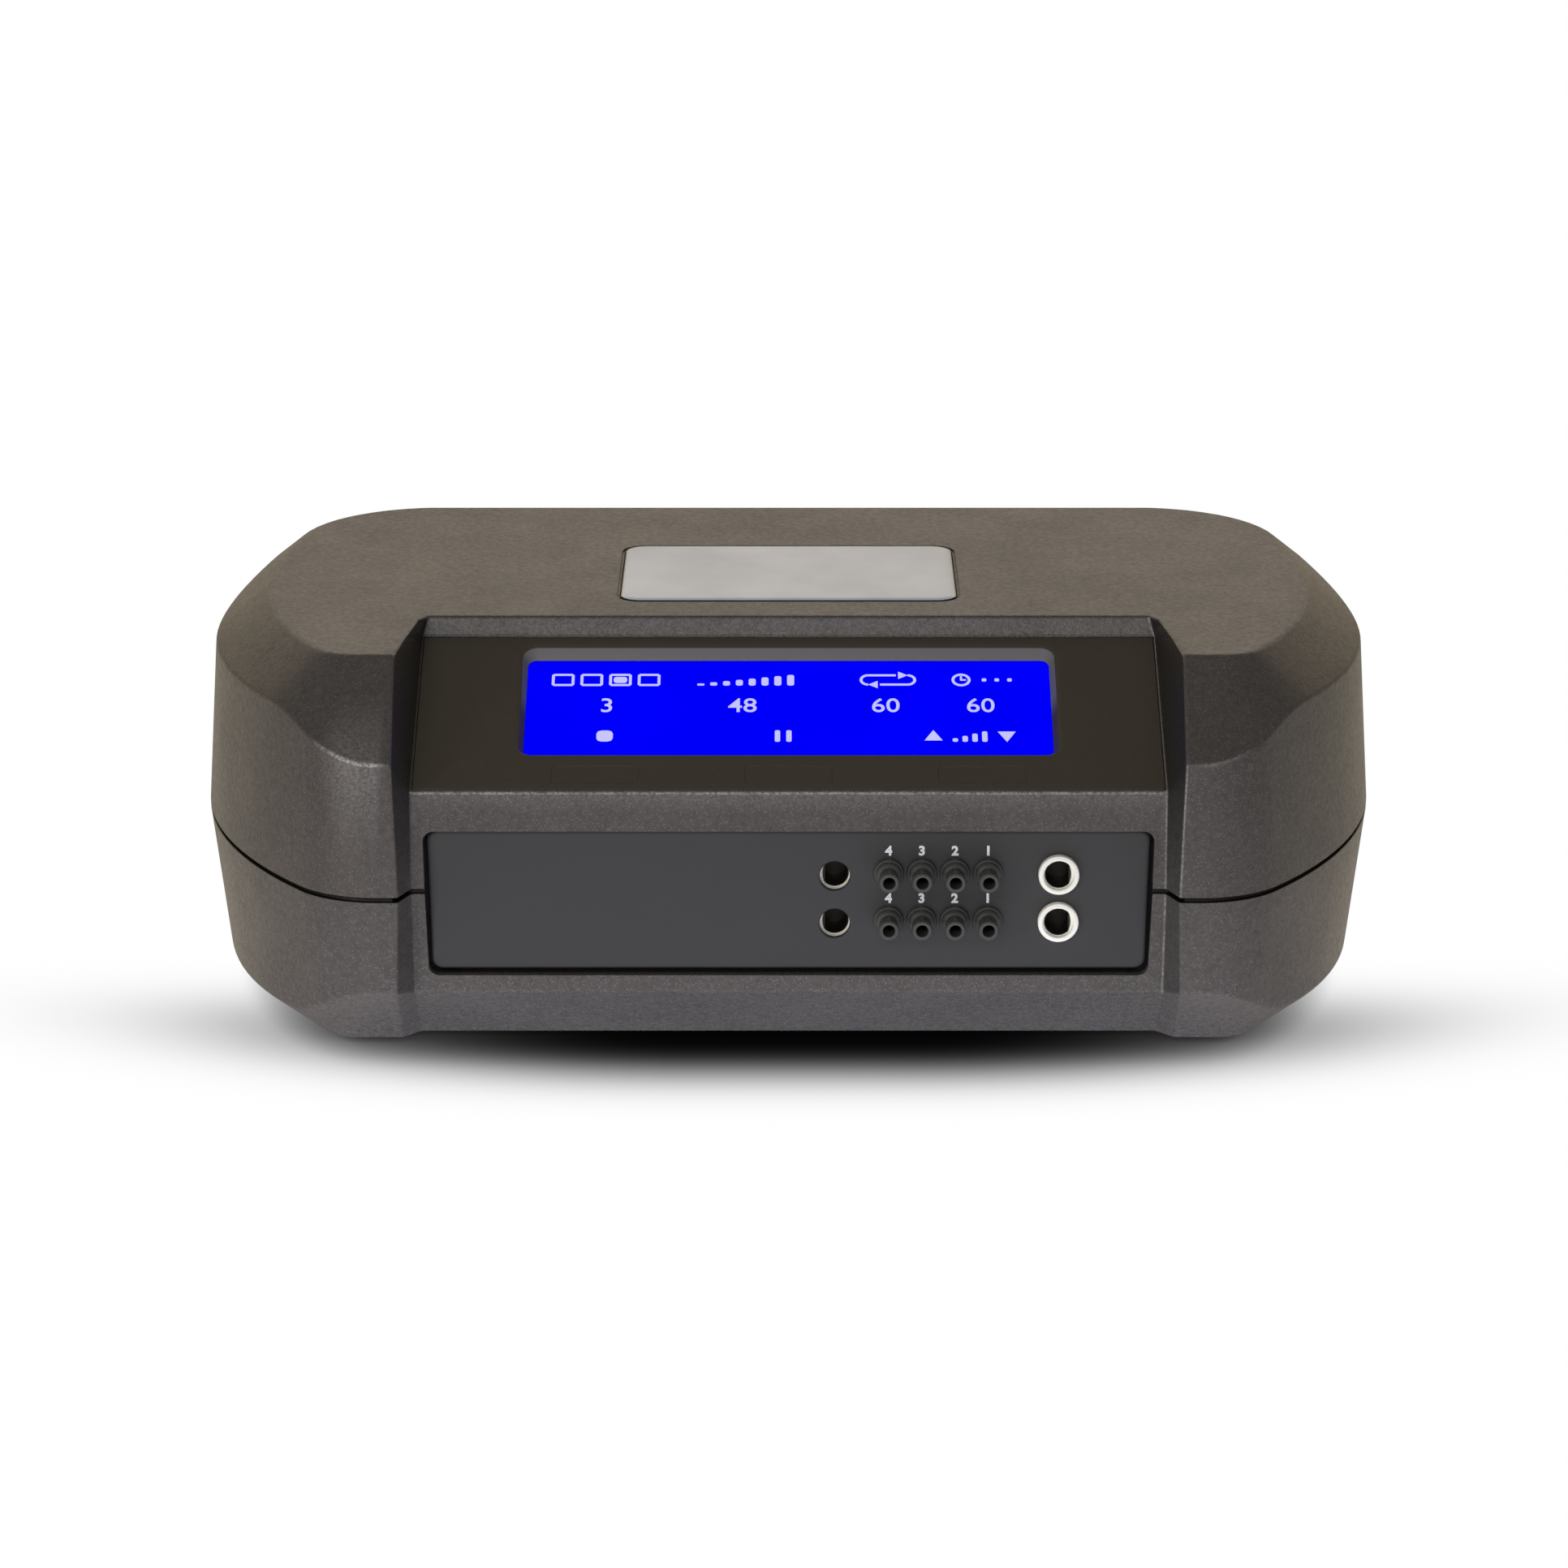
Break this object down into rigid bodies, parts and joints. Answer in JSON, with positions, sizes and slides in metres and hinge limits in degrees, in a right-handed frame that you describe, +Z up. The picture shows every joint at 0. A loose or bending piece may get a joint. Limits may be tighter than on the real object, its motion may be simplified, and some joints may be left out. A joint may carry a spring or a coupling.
{
  "type": "compression therapy pump",
  "caption": "Table-top compression therapy air pump: rounded two-part case, sloping blue display with flush keys, keyed sockets and rows of barbed hose ports on a recessed front panel.",
  "frame": {"origin": "on the surface that the pump stands on, under the middle of the case", "axes": "+X to the right along the case, +Y to the back, +Z up; the display and the hose ports face -Y"},
  "size_m": [0.34, 0.224, 0.1163],
  "materials": {
    "case_plastic": "fine leather-like moulded texture, warm charcoal",
    "panel_plastic": "smooth satin charcoal",
    "bezel_plastic": "smooth satin dark brown",
    "key_plastic": "smooth satin dark brown",
    "screen_glass": "lit blue display with white characters",
    "badge_metal": "satin silver plate with a bright edge",
    "port_plastic": "dark satin moulded plastic",
    "socket_nylon": "cream white nylon",
    "manifold_plastic": "dark grey moulded plastic",
    "foot_rubber": "soft black rubber",
    "screw_steel": "zinc plated steel",
    "inlet_plastic": "black moulded plastic",
    "rocker_plastic": "glossy black plastic",
    "board_laminate": "green circuit board",
    "cast_aluminium": "as cast",
    "core_steel": "oiled laminated steel",
    "coil_copper": "varnished copper wire",
    "piston_steel": "ground steel",
    "isolator_rubber": "black rubber",
    "valve_plastic": "natural moulded plastic",
    "rotor_plastic": "white low-friction plastic",
    "motor_steel": "plated steel can",
    "hose_vinyl": "clear flexible vinyl"
  },
  "bodies": {
    "case": {"upper_case": "case_plastic", "lower_case": "case_plastic", "badge_plate": "badge_metal", "display_bezel": "bezel_plastic", "lcd_screen": "screen_glass", "lcd_board": "board_laminate", "keypad_board": "board_laminate", "connector_panel": "panel_plastic", "port_lower_4": "port_plastic", "port_lower_3": "port_plastic", "port_lower_2": "port_plastic", "port_lower_1": "port_plastic", "port_upper_4": "port_plastic", "port_upper_3": "port_plastic", "port_upper_2": "port_plastic", "port_upper_1": "port_plastic", "ring_socket_lower": "socket_nylon", "ring_socket_upper": "socket_nylon", "keyhole_socket_lower": "socket_nylon", "keyhole_socket_upper": "socket_nylon", "port_manifold": "manifold_plastic", "foot_front_left": "foot_rubber", "foot_front_right": "foot_rubber", "foot_rear_left": "foot_rubber", "foot_rear_right": "foot_rubber", "case_screw_front_left": "screw_steel", "case_screw_front_right": "screw_steel", "case_screw_rear_left": "screw_steel", "case_screw_rear_right": "screw_steel", "rear_panel": "panel_plastic", "power_inlet": "inlet_plastic", "switch_housing": "inlet_plastic", "fuse_holder_left": "inlet_plastic", "fuse_holder_right": "inlet_plastic", "pump_bracket": "core_steel", "isolator_front_left": "isolator_rubber", "isolator_front_right": "isolator_rubber", "isolator_rear_left": "isolator_rubber", "isolator_rear_right": "isolator_rubber", "pump_core": "core_steel", "coil_winding": "coil_copper", "pump_body": "cast_aluminium", "cylinder_head": "cast_aluminium", "intake_filter": "manifold_plastic", "return_spring": "piston_steel", "valve_body": "valve_plastic", "valve_motor": "motor_steel", "outlet_hose_1": "hose_vinyl", "outlet_hose_2": "hose_vinyl", "outlet_hose_3": "hose_vinyl", "outlet_hose_4": "hose_vinyl", "supply_hose": "hose_vinyl", "control_board": "board_laminate", "power_supply": "board_laminate"},
    "left_key": {"key_left": "key_plastic"},
    "middle_key": {"key_middle": "key_plastic"},
    "right_key": {"key_right": "key_plastic"},
    "rocker": {"power_rocker": "rocker_plastic"},
    "piston": {"pump_piston": "piston_steel"},
    "rotor": {"valve_rotor": "rotor_plastic"}
  },
  "joints": [
    {"name": "left_key_press", "type": "slide", "parent": "case", "child": "left_key", "axis": [0, 0.4192, -0.9079], "range_m": [0, 0.00025], "stiffness_N_per_m": 2000, "springref_m": -0.0007},
    {"name": "middle_key_press", "type": "slide", "parent": "case", "child": "middle_key", "axis": [0, 0.4192, -0.9079], "range_m": [0, 0.00025], "stiffness_N_per_m": 2000, "springref_m": -0.0007},
    {"name": "right_key_press", "type": "slide", "parent": "case", "child": "right_key", "axis": [0, 0.4192, -0.9079], "range_m": [0, 0.00025], "stiffness_N_per_m": 2000, "springref_m": -0.0007},
    {"name": "power_switch", "type": "hinge", "parent": "case", "child": "rocker", "pos_m": [-0.005, 0.1048, 0.0505], "axis": [-1, 0, 0], "range_deg": [0, 14]},
    {"name": "piston_stroke", "type": "slide", "parent": "case", "child": "piston", "axis": [1, 0, 0], "range_m": [-0.002, 0.002], "stiffness_N_per_m": 4000, "deforming": ["return_spring"]},
    {"name": "valve_turn", "type": "hinge", "parent": "case", "child": "rotor", "pos_m": [0.085, -0.035, 0.0159], "axis": [0, 0, 1], "continuous": true}
  ]
}
